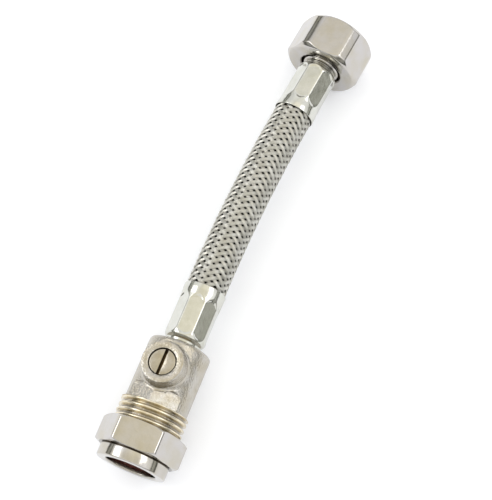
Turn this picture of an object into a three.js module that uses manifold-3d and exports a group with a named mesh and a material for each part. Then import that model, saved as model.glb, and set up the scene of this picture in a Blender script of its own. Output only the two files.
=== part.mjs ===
// Flexible tap connector: a 15 mm compression joint and an isolating ball valve on one end of a short
// braided hose, and a swivel nut on the other. It lies on the flats of its two nuts.
// Lengths are in millimetres. A station is the distance along the axis from the compression nut's face.
// An angle round the axis starts at the top and grows towards -Y.

import * as THREE from 'three';
import { mergeVertices } from 'three/addons/utils/BufferGeometryUtils.js';
import Module from 'manifold-3d';

const wasm = await Module();
wasm.setup();

// Fits
const RUNNING_FIT = 0.2;
const SEATED_GAP = 0.15;
const SEALED_GAP = 0.06;
const LOOSE_FIT = 0.3;
const EDGE_BREAK = 0.3;
const OVERCUT = 1;

// Half-inch pipe thread, used on the valve body and in the swivel nut
const THREAD_MAJOR_R = 10.4775;
const THREAD_MINOR_R = 9.3155;
const THREAD_PITCH = 1.814;
const THREAD_FLAT_SHARE = 1 / 6;
const THREAD_FACETS = 24;

// Both nuts
const ACROSS_FLATS = 23;

// Compression nut
const COLLAR_R = 10.6;
const COLLAR_LENGTH = 3.5;
const COLLAR_GROOVE_DEPTH = 0.4;
const NUT_HEX_FACE_R = 11.5;
const NUT_CORNER_R = 13.1;
const NUT_CORNER_ROUND = 0.8;
const NUT_LENGTH = 12;
const NUT_CONE_START = 3;
const NUT_CONE_DEPTH = 2.5;
const NUT_HEX_START = COLLAR_LENGTH + LOOSE_FIT;

// Pipe socket and olive
const PIPE_HOLE_R = 7.65;
const NUT_OVERLAP = 3.7;
const BODY_START = NUT_LENGTH - NUT_OVERLAP;
const MOUTH_R = 9;
const MOUTH_LENGTH = 2.3;
const MOUTH_END = BODY_START + MOUTH_LENGTH;
const OLIVE_BORE_R = 7.6;
const OLIVE_R = 8.8;
const OLIVE_SET_IN = 0.5;
const OLIVE_START = NUT_CONE_START + OLIVE_SET_IN;
const OLIVE_OVERLAP = 1.6;
const OLIVE_END = BODY_START + OLIVE_OVERLAP;
const OLIVE_EDGE = 0.3;
const OLIVE_BACK_TAPER = 1;
const OLIVE_FRONT_TAPER = 1.7;

// Valve body
const BODY_R = 9.58;
const MALE_THREAD_LENGTH = 10.15;
const BODY_SHOULDER = BODY_START + MALE_THREAD_LENGTH;
const STOP_REACH = 2.05;
const PIPE_STOP = BODY_SHOULDER + STOP_REACH;
const CENTRE_REACH = 10.95;
const VALVE_CENTRE = BODY_SHOULDER + CENTRE_REACH;
const OUTLET_REACH = 8.8;
const BODY_END = VALVE_CENTRE + OUTLET_REACH;
const BODY_END_CHAMFER = 0.9;
const BODY_ROLL = -6;
const BODY_LIP = 0.85;
const BODY_LIP_R = 5.8;
const SPANNER_FLAT_DEPTH = 0.98;
const SPANNER_FLAT_ANGLES = [25.5, -25.5, 154.5, 205.5];
const SPANNER_FLAT_LENGTH = 4.75;
const SPANNER_FLAT_WIDTH = 9.2;
const SPANNER_FLAT_CORNER = 2.2;

// Spindle boss
const BOSS_TOP = 13.5;
const BOSS_R = 6.3;
const BOSS_FOOT_R = 7.3;
const BOSS_EDGE = 0.35;
const SPINDLE_RECESS_R = 4.1;
const SPINDLE_RECESS_DEPTH = 1.5;

// Spindle
const SPINDLE_R = 3.8;
const SPINDLE_SINK = 0.35;
const SPINDLE_TOP = BOSS_TOP - SPINDLE_SINK;
const FLANGE_R = 4.3;
const FLANGE_BOTTOM = 6.75;
const FLANGE_TOP = 7.9;
const TONGUE_THICKNESS = 2;
const TONGUE_LENGTH = 5;
const TONGUE_BOTTOM = 5.2;
const SLOT_WIDTH = 1;
const SLOT_DEPTH = 1.4;
const SEAL_HEIGHTS = [9, 10.9];
const SEAL_SECTION_R = 0.42;
const SEAL_GROOVE_HALF = 0.55;

// Ball and seats
const BALL_R = 6.5;
const PORT_R = 4;
const SEAT_BORE_R = 4.2;
const SEAT_CONTACT_R = 6;
const SEAT_R = 6.2;
const SEAT_BACK = 6.2;
const CAVITY_R = 7.3;
const CAVITY_REACH = 3.5;

// Hose tails
const TAIL_BORE_R = 2.9;
const TAIL_SHANK_R = 3.65;
const BARB_R = 3.9;
const BARB_PITCH = 2.8;
const BARB_COUNT = 5;
const TAIL_NECK_R = 4.1;
const PLUG_REACH = 4.35;
const PLUG_START = VALVE_CENTRE + PLUG_REACH;
const PLUG_END = BODY_END - BODY_LIP - SEATED_GAP;
const PLUG_GROOVE_SET_IN = 0.8;
const PLUG_GROOVE = PLUG_END - PLUG_GROOVE_SET_IN;
const PLUG_SHOULDER_R = 5.2;
const PLUG_SHOULDER_PROUD = 0.45;
const PLUG_SHOULDER_END = BODY_END + PLUG_SHOULDER_PROUD;

// Crimped ferrules, measured from the open mouth
const FERRULE_LENGTH = 18.6;
const FERRULE_R = 6.5;
const FERRULE_MOUTH_R = 6.65;
const FERRULE_MOUTH_BORE_R = 6.3;
const FERRULE_BORE_R = 5.55;
const FERRULE_END_R = 5.3;
const FERRULE_END_WALL = 2.2;
const FERRULE_FLARE = 3.5;
const FERRULE_SHOULDER_DROP = 0.4;
const FERRULE_SHOULDER_LENGTH = 1.3;
const CRIMP_APOTHEM = 6.05;
const CRIMP_COUNT = 8;
const CRIMP_TURN = -2.5;
const CRIMP_HALF_WIDTH = 2.45;
const CRIMP_END_SLOPE = 0.5;
const CRIMP_START = 4.4;
const CRIMP_END_MARGIN = 2.7;
const CRIMP_END = FERRULE_LENGTH - CRIMP_END_MARGIN;
const FERRULE_STAND_OFF = 0.25;
const VALVE_MOUTH = PLUG_SHOULDER_END + FERRULE_STAND_OFF + FERRULE_LENGTH;

// Hose
const HOSE_FREE_LENGTH = 64.9;
const TAP_MOUTH = VALVE_MOUTH + HOSE_FREE_LENGTH;
const HOSE_END_INSET = FERRULE_LENGTH - FERRULE_END_WALL - RUNNING_FIT;
const BEND_LEAD = 0.45;
const BEND_START = VALVE_MOUTH + BEND_LEAD;
const BEND_LENGTH = HOSE_FREE_LENGTH - 2 * BEND_LEAD;
const BEND_ANGLE = 6.88;
const WALL_EASE_IN = 3.5;
const WALL_EASE_OUT = 1.5;
const BRAID_R = 6.3;
const BRAID_CRIMPED_R = 5.4;
const BRAID_BORE_R = 5.8;
const BRAID_CRIMPED_BORE_R = 5.1;
const LINER_R = 5.65;
const LINER_CRIMPED_R = 4.95;
const LINER_BORE_R = 4.2;
const LINER_CRIMPED_BORE_R = 4.05;
const BRAID_COLUMNS = 24;
const BRAID_HALF_PITCH = 1.07;
const BRAID_COVER = 0.5;
const BRAID_BORE_STEP = 8;
const HOLE_DEPTH = 0.27;
const UNDER_DEPTH = 0.2;
const CROSSOVER_DEPTH = 0.11;
const LINER_STEP = 8;
const LINER_COLUMNS = 16;

// Swivel nut
const SWIVEL_STAND_OFF = 0.1;
const SWIVEL_START = TAP_MOUTH + FERRULE_LENGTH + SWIVEL_STAND_OFF;
const SWIVEL_LENGTH = 13.2;
const SWIVEL_END = SWIVEL_START + SWIVEL_LENGTH;
const SWIVEL_CORNER_R = 12.5;
const SWIVEL_FACE_R = 11.2;
const SWIVEL_BACK_BREAK = 1.2;
const SWIVEL_FRONT_BREAK = 1.5;
const SWIVEL_HOLE_R = 6.9;
const SWIVEL_WALL = 3.5;
const SWIVEL_WALL_END = SWIVEL_START + SWIVEL_WALL;
const SWIVEL_RELIEF_R = 10.6;
const SWIVEL_RELIEF_LENGTH = 3;
const SWIVEL_RELIEF_END = SWIVEL_WALL_END + SWIVEL_RELIEF_LENGTH;

// Tap end of the hose tail, and the washer on it
const HUB_R = 6.2;
const HUB_START = SWIVEL_START;
const FLANGE_START = SWIVEL_WALL_END + LOOSE_FIT;
const FLANGE_THICKNESS = 1.5;
const TAIL_FLANGE_R = 8.9;
const SPIGOT_R = 4.5;
const SPIGOT_LENGTH = 1.6;
const WASHER_THICKNESS = 2;
const WASHER_R = TAIL_FLANGE_R;
const WASHER_BORE_R = SPIGOT_R + RUNNING_FIT;

// Facets round a full turn
const SHOWN_FACETS = 36;
const HIDDEN_FACETS = 24;
const SEAL_FACETS = 6;
const SPINDLE_FACETS = 32;

const radians = THREE.MathUtils.degToRad;

// A profile is a list of [position along the axis, radius]. It closes on itself or ends on the axis.

function profileArea(profile) {
  let area = 0;
  profile.forEach(([x, r], i) => {
    const [nextX, nextR] = profile[(i + 1) % profile.length];
    area += x * nextR - nextX * r;
  });
  return area / 2;
}

function turnedUpright(profile, facets) {
  const ordered = profileArea(profile) > 0 ? [...profile].reverse() : [...profile];
  const points = ordered.map(([x, r]) => new THREE.Vector2(r, x));
  const onAxis = points[0].x === 0 || points.at(-1).x === 0;
  if (!onAxis) {
    points.push(points[0].clone());
  }
  return new THREE.LatheGeometry(points, facets);
}

function turned(profile, facets = SHOWN_FACETS) {
  return turnedUpright(profile, facets).rotateZ(-Math.PI / 2);
}

function turnedOnSpindle(profile, facets = SHOWN_FACETS) {
  return turnedUpright(profile, facets).rotateX(Math.PI / 2).translate(VALVE_CENTRE, 0, 0);
}

function arc(centre, radius, from, to, steps) {
  const points = [];
  for (let i = 0; i <= steps; i += 1) {
    const angle = from + ((to - from) * i) / steps;
    points.push([centre + radius * Math.cos(angle), radius * Math.sin(angle)]);
  }
  return points;
}

// Solids for cutting and joining

function solidOf(geometry) {
  const bare = geometry.clone();
  bare.deleteAttribute('normal');
  bare.deleteAttribute('uv');
  const merged = mergeVertices(bare);
  const corners = merged.index.array;
  const kept = [];
  for (let i = 0; i < corners.length; i += 3) {
    const [a, b, c] = corners.slice(i, i + 3);
    if (a !== b && b !== c && c !== a) {
      kept.push(a, b, c);
    }
  }
  return new wasm.Manifold(new wasm.Mesh({
    numProp: 3,
    vertProperties: new Float32Array(merged.attributes.position.array),
    triVerts: new Uint32Array(kept),
  }));
}

function geometryOf(solid) {
  const mesh = solid.getMesh();
  const geometry = new THREE.BufferGeometry();
  geometry.setAttribute('position', new THREE.BufferAttribute(mesh.vertProperties, 3));
  geometry.setIndex(new THREE.BufferAttribute(mesh.triVerts, 1));
  geometry.computeVertexNormals();
  return geometry;
}

function joined(first, second) {
  return geometryOf(solidOf(first).add(solidOf(second)));
}

function common(first, second) {
  return geometryOf(solidOf(first).intersect(solidOf(second)));
}

function cut(body, tools) {
  const left = tools.reduce((solid, tool) => solid.subtract(solidOf(tool)), solidOf(body));
  return geometryOf(left);
}

function hexPrism(from, to) {
  const cornerR = ACROSS_FLATS / 2 / Math.cos(Math.PI / 6);
  const prism = new THREE.CylinderGeometry(cornerR, cornerR, to - from, 6, 1, false, Math.PI / 6);
  return prism.rotateZ(-Math.PI / 2).translate((from + to) / 2, 0, 0);
}

// A rod with a helical thread, a little longer than asked for, closed by a cone at each end
function threadedRod(minorR, majorR, from, to) {
  const shares = [0, THREAD_FLAT_SHARE, 0.5, 0.5 + THREAD_FLAT_SHARE];
  const radii = [majorR, majorR, minorR, minorR];
  const turns = Math.ceil((to - from) / THREAD_PITCH) + 3;
  const rows = turns * shares.length;
  const start = from - 1.5 * THREAD_PITCH;
  const positions = [];
  for (let row = 0; row <= rows; row += 1) {
    for (let i = 0; i < THREAD_FACETS; i += 1) {
      const angle = (2 * Math.PI * i) / THREAD_FACETS;
      const lead = Math.floor(row / shares.length) + shares[row % shares.length] + i / THREAD_FACETS;
      const radius = radii[row % shares.length];
      positions.push(start + lead * THREAD_PITCH, radius * Math.sin(angle), radius * Math.cos(angle));
    }
  }
  const at = (row, i) => (i < THREAD_FACETS
    ? row * THREAD_FACETS + i
    : (row + shares.length) * THREAD_FACETS);
  const low = positions.length / 3;
  positions.push(start - THREAD_PITCH, 0, 0);
  const high = low + 1;
  positions.push(start + (turns + 2) * THREAD_PITCH, 0, 0);
  const faces = [];
  const lastRow = rows - shares.length;
  for (let row = 0; row < lastRow; row += 1) {
    for (let i = 0; i < THREAD_FACETS; i += 1) {
      faces.push(at(row, i), at(row + 1, i + 1), at(row, i + 1));
      faces.push(at(row, i), at(row + 1, i), at(row + 1, i + 1));
    }
  }
  for (let i = 0; i < THREAD_FACETS; i += 1) {
    faces.push(low, at(0, i), at(0, i + 1));
    faces.push(high, at(lastRow, i + 1), at(lastRow, i));
  }
  for (let row = 0; row < shares.length; row += 1) {
    faces.push(low, at(row + 1, 0), at(row, 0));
    faces.push(high, at(lastRow + row, 0), at(lastRow + row + 1, 0));
  }
  const geometry = new THREE.BufferGeometry();
  geometry.setAttribute('position', new THREE.Float32BufferAttribute(positions, 3));
  geometry.setIndex(faces);
  return geometry;
}

// A block that takes a flat off a round body. The outline lies in the plane of the flat.
function flatCutter(outline, apothem, angle, slope = 0) {
  const block = new THREE.ExtrudeGeometry(outline, {
    depth: ACROSS_FLATS / 2,
    curveSegments: 4,
    bevelEnabled: slope > 0,
    bevelThickness: FERRULE_R - CRIMP_APOTHEM,
    bevelSize: slope,
    bevelSegments: 1,
  });
  const lift = slope > 0 ? FERRULE_R - CRIMP_APOTHEM : 0;
  return block.translate(0, 0, apothem + lift).rotateX(radians(angle));
}

// Compression joint

function compressionNut() {
  const half = ACROSS_FLATS / 2;
  const bore = THREAD_MAJOR_R + RUNNING_FIT;
  const coneEnd = NUT_CONE_START + NUT_CONE_DEPTH;
  const blank = turned([
    [0, PIPE_HOLE_R + EDGE_BREAK],
    [0, COLLAR_R - EDGE_BREAK],
    [EDGE_BREAK / 3, COLLAR_R - EDGE_BREAK / 3],
    [EDGE_BREAK, COLLAR_R],
    [COLLAR_LENGTH, COLLAR_R],
    [COLLAR_LENGTH, COLLAR_R - COLLAR_GROOVE_DEPTH],
    [NUT_HEX_START, COLLAR_R - COLLAR_GROOVE_DEPTH],
    [NUT_HEX_START, NUT_HEX_FACE_R],
    [NUT_HEX_START + NUT_CORNER_ROUND / 3, half + NUT_CORNER_ROUND],
    [NUT_HEX_START + NUT_CORNER_ROUND, NUT_CORNER_R],
    [NUT_LENGTH - NUT_CORNER_ROUND, NUT_CORNER_R],
    [NUT_LENGTH - NUT_CORNER_ROUND / 3, half + NUT_CORNER_ROUND],
    [NUT_LENGTH, half],
    [NUT_LENGTH, bore + EDGE_BREAK],
    [NUT_LENGTH - EDGE_BREAK, bore],
    [coneEnd, bore],
    [coneEnd, PIPE_HOLE_R + NUT_CONE_DEPTH],
    [NUT_CONE_START, PIPE_HOLE_R],
    [EDGE_BREAK, PIPE_HOLE_R],
  ]);
  return common(blank, hexPrism(-OVERCUT, NUT_LENGTH + OVERCUT));
}

function olive() {
  return turned([
    [OLIVE_START, OLIVE_BORE_R],
    [OLIVE_START, OLIVE_BORE_R + OLIVE_EDGE],
    [OLIVE_START + OLIVE_BACK_TAPER, OLIVE_R],
    [OLIVE_END - OLIVE_FRONT_TAPER, OLIVE_R],
    [OLIVE_END, OLIVE_BORE_R + OLIVE_EDGE],
    [OLIVE_END, OLIVE_BORE_R],
  ]);
}

// Valve body

function spannerFlat(angle) {
  const half = SPANNER_FLAT_WIDTH / 2;
  const start = BODY_SHOULDER - OVERCUT;
  const end = BODY_SHOULDER + SPANNER_FLAT_LENGTH;
  const outline = new THREE.Shape();
  outline.moveTo(start, -half);
  outline.lineTo(end - SPANNER_FLAT_CORNER, -half);
  outline.quadraticCurveTo(end, -half, end, SPANNER_FLAT_CORNER - half);
  outline.lineTo(end, half - SPANNER_FLAT_CORNER);
  outline.quadraticCurveTo(end, half, end - SPANNER_FLAT_CORNER, half);
  outline.lineTo(start, half);
  outline.closePath();
  return flatCutter(outline, BODY_R - SPANNER_FLAT_DEPTH, angle);
}

function barrel() {
  return turned([
    [BODY_SHOULDER, 0],
    [BODY_SHOULDER, BODY_R - EDGE_BREAK],
    [BODY_SHOULDER + EDGE_BREAK, BODY_R],
    [BODY_END - BODY_END_CHAMFER, BODY_R],
    [BODY_END - BODY_END_CHAMFER / 3, BODY_R - BODY_END_CHAMFER / 3],
    [BODY_END, BODY_R - BODY_END_CHAMFER],
    [BODY_END, 0],
  ]);
}

function boss() {
  const rise = BOSS_TOP - BODY_R;
  return turnedOnSpindle([
    [CAVITY_R / 2, 0],
    [CAVITY_R / 2, BOSS_FOOT_R],
    [BOSS_TOP - 1.7 * rise, BOSS_FOOT_R],
    [BOSS_TOP - 1.2 * rise, BOSS_R + (BOSS_FOOT_R - BOSS_R) * 0.6],
    [BOSS_TOP - 0.8 * rise, BOSS_R + (BOSS_FOOT_R - BOSS_R) * 0.25],
    [BOSS_TOP - BOSS_EDGE, BOSS_R],
    [BOSS_TOP, BOSS_R - BOSS_EDGE],
    [BOSS_TOP, 0],
  ]);
}

function bodyBore() {
  const seatPocket = VALVE_CENTRE - SEAT_BACK - SEATED_GAP;
  return turned([
    [BODY_START - OVERCUT, 0],
    [BODY_START - OVERCUT, MOUTH_R],
    [BODY_START, MOUTH_R],
    [MOUTH_END, PIPE_HOLE_R],
    [PIPE_STOP, PIPE_HOLE_R],
    [PIPE_STOP, SEAT_BORE_R],
    [seatPocket, SEAT_BORE_R],
    [seatPocket, SEAT_R + RUNNING_FIT],
    [VALVE_CENTRE - CAVITY_REACH, SEAT_R + RUNNING_FIT],
    [VALVE_CENTRE - CAVITY_REACH, CAVITY_R],
    [BODY_END - BODY_LIP, CAVITY_R],
    [BODY_END - BODY_LIP, BODY_LIP_R],
    [BODY_END + OVERCUT, BODY_LIP_R],
    [BODY_END + OVERCUT, 0],
  ]);
}

function spindleBore() {
  const bore = SPINDLE_R + RUNNING_FIT;
  const recess = BOSS_TOP - SPINDLE_RECESS_DEPTH;
  return turnedOnSpindle([
    [SEAT_CONTACT_R - OVERCUT, 0],
    [SEAT_CONTACT_R - OVERCUT, FLANGE_R + RUNNING_FIT],
    [FLANGE_TOP + RUNNING_FIT, FLANGE_R + RUNNING_FIT],
    [FLANGE_TOP + RUNNING_FIT, bore],
    [recess, bore],
    [recess, SPINDLE_RECESS_R],
    [BOSS_TOP + OVERCUT, SPINDLE_RECESS_R],
    [BOSS_TOP + OVERCUT, 0],
  ], SPINDLE_FACETS);
}

function valveBody() {
  const thread = common(
    threadedRod(THREAD_MINOR_R, THREAD_MAJOR_R, BODY_START, BODY_SHOULDER),
    turned([
      [BODY_START, 0],
      [BODY_START, THREAD_MINOR_R + EDGE_BREAK],
      [BODY_START + THREAD_PITCH / 2, THREAD_MAJOR_R + EDGE_BREAK],
      [BODY_SHOULDER + EDGE_BREAK / 2, THREAD_MAJOR_R + EDGE_BREAK],
      [BODY_SHOULDER + EDGE_BREAK / 2, 0],
    ]),
  );
  const flatted = cut(barrel(), SPANNER_FLAT_ANGLES.map(spannerFlat));
  const whole = joined(joined(flatted, boss()), thread);
  return cut(whole, [bodyBore(), spindleBore()]);
}

// Spindle and its seals

function sealR() {
  return SPINDLE_R + RUNNING_FIT - SEALED_GAP - SEAL_SECTION_R;
}

function spindleGroove(height) {
  const floor = sealR() - SEAL_SECTION_R - SEALED_GAP;
  return [
    [height - SEAL_GROOVE_HALF, SPINDLE_R],
    [height - SEAL_GROOVE_HALF, floor],
    [height + SEAL_GROOVE_HALF, floor],
    [height + SEAL_GROOVE_HALF, SPINDLE_R],
  ];
}

function valveStem() {
  const shaft = turnedOnSpindle([
    [FLANGE_BOTTOM, 0],
    [FLANGE_BOTTOM, FLANGE_R],
    [FLANGE_TOP, FLANGE_R],
    [FLANGE_TOP, SPINDLE_R],
    ...SEAL_HEIGHTS.flatMap(spindleGroove),
    [SPINDLE_TOP - EDGE_BREAK, SPINDLE_R],
    [SPINDLE_TOP, SPINDLE_R - EDGE_BREAK],
    [SPINDLE_TOP, 0],
  ], SPINDLE_FACETS);
  const tongueHeight = FLANGE_BOTTOM - TONGUE_BOTTOM + EDGE_BREAK;
  const tongue = new THREE.BoxGeometry(TONGUE_THICKNESS, TONGUE_LENGTH, tongueHeight);
  tongue.translate(VALVE_CENTRE, 0, TONGUE_BOTTOM + tongueHeight / 2);
  const slot = new THREE.BoxGeometry(3 * SPINDLE_R, SLOT_WIDTH, 2 * SLOT_DEPTH);
  slot.translate(VALVE_CENTRE, 0, SPINDLE_TOP);
  return cut(joined(shaft, tongue), [slot]);
}

function spindleSeal(height) {
  const ring = new THREE.TorusGeometry(sealR(), SEAL_SECTION_R, SEAL_FACETS, HIDDEN_FACETS);
  return ring.translate(VALVE_CENTRE, 0, height);
}

// Ball and seats

function valveBall() {
  const reach = Math.asin(PORT_R / BALL_R);
  const bored = turned(arc(VALVE_CENTRE, BALL_R, reach, Math.PI - reach, 12), HIDDEN_FACETS);
  const slotFloor = TONGUE_BOTTOM - RUNNING_FIT;
  const width = TONGUE_THICKNESS + 2 * RUNNING_FIT;
  const slot = new THREE.BoxGeometry(width, 3 * BALL_R, BALL_R);
  slot.translate(VALVE_CENTRE, 0, slotFloor + BALL_R / 2);
  return cut(bored, [slot]);
}

function ballSeat(side) {
  const cup = BALL_R + RUNNING_FIT;
  const inner = Math.asin(SEAT_BORE_R / cup);
  const outer = Math.asin(SEAT_CONTACT_R / cup);
  const face = arc(0, cup, inner, outer, 4);
  const profile = [
    [SEAT_BACK, SEAT_BORE_R],
    ...face,
    [face.at(-1)[0], SEAT_R],
    [SEAT_BACK, SEAT_R],
  ];
  return turned(profile.map(([x, r]) => [VALVE_CENTRE + side * x, r]), HIDDEN_FACETS);
}

// Hose tails. The barbs start at the open tip and lean back to hold the hose.
function barbs(tip, side) {
  const points = [[tip, BARB_R - EDGE_BREAK]];
  for (let i = 0; i < BARB_COUNT; i += 1) {
    const crest = tip + side * (i + 0.8) * BARB_PITCH;
    points.push([crest, BARB_R]);
    points.push([crest + side * EDGE_BREAK, TAIL_SHANK_R]);
  }
  return points;
}

function plugSealR() {
  return CAVITY_R - SEALED_GAP - SEAL_SECTION_R;
}

function valveEndTail() {
  const plugR = CAVITY_R - RUNNING_FIT;
  const floor = plugSealR() - SEAL_SECTION_R - SEALED_GAP;
  const pocketEnd = VALVE_CENTRE + SEAT_BACK + SEATED_GAP;
  const hoseStop = VALVE_MOUTH - HOSE_END_INSET;
  return turned([
    [VALVE_MOUTH - BARB_PITCH, TAIL_BORE_R],
    ...barbs(VALVE_MOUTH - BARB_PITCH, -1),
    [hoseStop, TAIL_SHANK_R],
    [hoseStop, TAIL_NECK_R],
    [PLUG_SHOULDER_END, TAIL_NECK_R],
    [PLUG_SHOULDER_END, PLUG_SHOULDER_R],
    [PLUG_END, PLUG_SHOULDER_R],
    [PLUG_END, plugR],
    [PLUG_GROOVE + SEAL_GROOVE_HALF, plugR],
    [PLUG_GROOVE + SEAL_GROOVE_HALF, floor],
    [PLUG_GROOVE - SEAL_GROOVE_HALF, floor],
    [PLUG_GROOVE - SEAL_GROOVE_HALF, plugR],
    [PLUG_START, plugR],
    [PLUG_START, SEAT_R + SEATED_GAP],
    [pocketEnd, SEAT_R + SEATED_GAP],
    [pocketEnd, TAIL_BORE_R],
  ], HIDDEN_FACETS);
}

function tailSeal() {
  const ring = new THREE.TorusGeometry(plugSealR(), SEAL_SECTION_R, SEAL_FACETS, HIDDEN_FACETS);
  return ring.rotateY(Math.PI / 2).translate(PLUG_GROOVE, 0, 0);
}

function tapEndTail() {
  const hoseStop = TAP_MOUTH + HOSE_END_INSET;
  const spigotEnd = FLANGE_START + FLANGE_THICKNESS + SPIGOT_LENGTH;
  return turned([
    [TAP_MOUTH + BARB_PITCH, TAIL_BORE_R],
    ...barbs(TAP_MOUTH + BARB_PITCH, 1),
    [hoseStop, TAIL_SHANK_R],
    [hoseStop, TAIL_NECK_R],
    [HUB_START, TAIL_NECK_R],
    [HUB_START, HUB_R - EDGE_BREAK],
    [HUB_START + EDGE_BREAK, HUB_R],
    [FLANGE_START, HUB_R],
    [FLANGE_START, TAIL_FLANGE_R],
    [FLANGE_START + FLANGE_THICKNESS, TAIL_FLANGE_R],
    [FLANGE_START + FLANGE_THICKNESS, SPIGOT_R],
    [spigotEnd - EDGE_BREAK, SPIGOT_R],
    [spigotEnd, SPIGOT_R - EDGE_BREAK],
    [spigotEnd, TAIL_BORE_R],
  ], HIDDEN_FACETS);
}

// Ferrules. Each is described from its open mouth towards its closed end.

function crimpFlat(mouth, side, index) {
  const from = mouth + side * CRIMP_START;
  const to = mouth + side * CRIMP_END;
  const low = Math.min(from, to) + CRIMP_HALF_WIDTH - CRIMP_END_SLOPE;
  const high = Math.max(from, to) - CRIMP_HALF_WIDTH + CRIMP_END_SLOPE;
  const outline = new THREE.Shape();
  outline.absarc(high, 0, CRIMP_HALF_WIDTH, -Math.PI / 2, Math.PI / 2, false);
  outline.absarc(low, 0, CRIMP_HALF_WIDTH, Math.PI / 2, 1.5 * Math.PI, false);
  outline.closePath();
  const angle = CRIMP_TURN + (360 / CRIMP_COUNT) * index;
  return flatCutter(outline, CRIMP_APOTHEM, angle, CRIMP_END_SLOPE);
}

function ferrule(mouth, side) {
  const inner = FERRULE_LENGTH - FERRULE_END_WALL;
  const lip = (FERRULE_MOUTH_R + FERRULE_MOUTH_BORE_R) / 2;
  const shell = turned([
    [0, lip],
    [EDGE_BREAK / 2, FERRULE_MOUTH_R],
    [FERRULE_FLARE / 2, FERRULE_MOUTH_R],
    [FERRULE_FLARE, FERRULE_R],
    [inner - FERRULE_SHOULDER_DROP, FERRULE_R],
    [inner + FERRULE_SHOULDER_LENGTH / 2, FERRULE_R - FERRULE_SHOULDER_DROP],
    [inner + FERRULE_SHOULDER_LENGTH, FERRULE_END_R],
    [FERRULE_LENGTH, FERRULE_END_R],
    [FERRULE_LENGTH, TAIL_NECK_R + SEATED_GAP],
    [inner, TAIL_NECK_R + SEATED_GAP],
    [inner, FERRULE_BORE_R],
    [FERRULE_FLARE, FERRULE_BORE_R],
    [EDGE_BREAK, FERRULE_MOUTH_BORE_R],
  ].map(([x, r]) => [mouth + side * x, r]));
  const flats = [...Array(CRIMP_COUNT).keys()].map((index) => crimpFlat(mouth, side, index));
  return cut(shell, flats);
}

// Hose. Its centreline is straight in the ferrules and an arc between them.

const BEND_R = BEND_LENGTH / radians(BEND_ANGLE);

function hoseFrame(station) {
  const along = THREE.MathUtils.clamp(station - BEND_START, 0, BEND_LENGTH);
  const turn = along / BEND_R;
  const direction = new THREE.Vector3(Math.cos(turn), -Math.sin(turn), 0);
  const sideways = new THREE.Vector3(-Math.sin(turn), -Math.cos(turn), 0);
  const straight = station - BEND_START - along;
  const centre = new THREE.Vector3(
    BEND_START + BEND_R * Math.sin(turn),
    -BEND_R * (1 - Math.cos(turn)),
    0,
  ).addScaledVector(direction, straight);
  return { centre, direction, sideways };
}

function hosePoint(station, angle, radius) {
  const { centre, sideways } = hoseFrame(station);
  const point = centre.clone().addScaledVector(sideways, radius * Math.sin(angle));
  point.z += radius * Math.cos(angle);
  return point;
}

// 0 where a ferrule squeezes the wall, 1 where the wall is free
function wallFreedom(station) {
  const inset = Math.min(station - VALVE_MOUTH, TAP_MOUTH - station);
  return THREE.MathUtils.smoothstep(inset, -WALL_EASE_IN, WALL_EASE_OUT);
}

function eased(station, crimped, free) {
  return THREE.MathUtils.lerp(crimped, free, wallFreedom(station));
}

// A tube skin as rows of points round the centreline. Faces look outward when rows go forward.
function pushRow(positions, station, columns, radiusAt) {
  const first = positions.length / 3;
  for (let column = 0; column < columns; column += 1) {
    const angle = (2 * Math.PI * column) / columns;
    positions.push(...hosePoint(station, angle, radiusAt(column)));
  }
  return first;
}

function joinRows(faces, rows, columns) {
  rows.slice(1).forEach((second, i) => {
    const first = rows[i];
    for (let column = 0; column < columns; column += 1) {
      const next = (column + 1) % columns;
      faces.push(first + column, second + next, second + column);
      faces.push(first + column, first + next, second + next);
    }
  });
}

function hoseGeometry(positions, faces) {
  const geometry = new THREE.BufferGeometry();
  geometry.setAttribute('position', new THREE.Float32BufferAttribute(positions, 3));
  geometry.setIndex(faces);
  geometry.computeVertexNormals();
  return geometry;
}

function easingStations(mouth, side) {
  const shares = [1, 2 / 3, 1 / 3];
  const stations = shares.map((share) => mouth - side * share * WALL_EASE_IN);
  return side > 0 ? stations : stations.reverse();
}

// The bore runs back from the last outer row to the first one
function addBore(faces, outerRows, innerRows, columns) {
  joinRows(faces, [outerRows.at(-1), ...innerRows.reverse(), outerRows[0]], columns);
}

function innerHose() {
  const end = HOSE_END_INSET - RUNNING_FIT;
  const stations = [VALVE_MOUTH - end, ...easingStations(VALVE_MOUTH, 1)];
  const last = TAP_MOUTH - BRAID_COVER;
  for (let station = VALVE_MOUTH; station < last; station += LINER_STEP) {
    stations.push(station);
  }
  stations.push(TAP_MOUTH, ...easingStations(TAP_MOUTH, -1), TAP_MOUTH + end);
  const positions = [];
  const faces = [];
  const rowAt = (s, crimped, free) => (
    pushRow(positions, s, LINER_COLUMNS, () => eased(s, crimped, free)));
  const outerRows = stations.map((s) => rowAt(s, LINER_CRIMPED_R, LINER_R));
  const innerRows = stations.map((s) => rowAt(s, LINER_CRIMPED_BORE_R, LINER_BORE_R));
  joinRows(faces, outerRows, LINER_COLUMNS);
  addBore(faces, outerRows, innerRows, LINER_COLUMNS);
  return hoseGeometry(positions, faces);
}

// Two sets of strands cross in 24 columns, each over two and under two.
// Crossings and holes alternate like the squares of a chess board.
function rowDepth(row, column) {
  return (row + column) % 2 === 0 ? 0 : HOLE_DEPTH;
}

// Depth in the middle of a square, where one strand runs from crossing to crossing
function strandDepth(row, column) {
  const rising = (row + column) % 2 === 0;
  const phase = column % 4;
  const over = rising ? 0 : 2;
  if (phase === over) {
    return 0;
  }
  return phase === (over + 2) % 4 ? UNDER_DEPTH : CROSSOVER_DEPTH;
}

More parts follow.
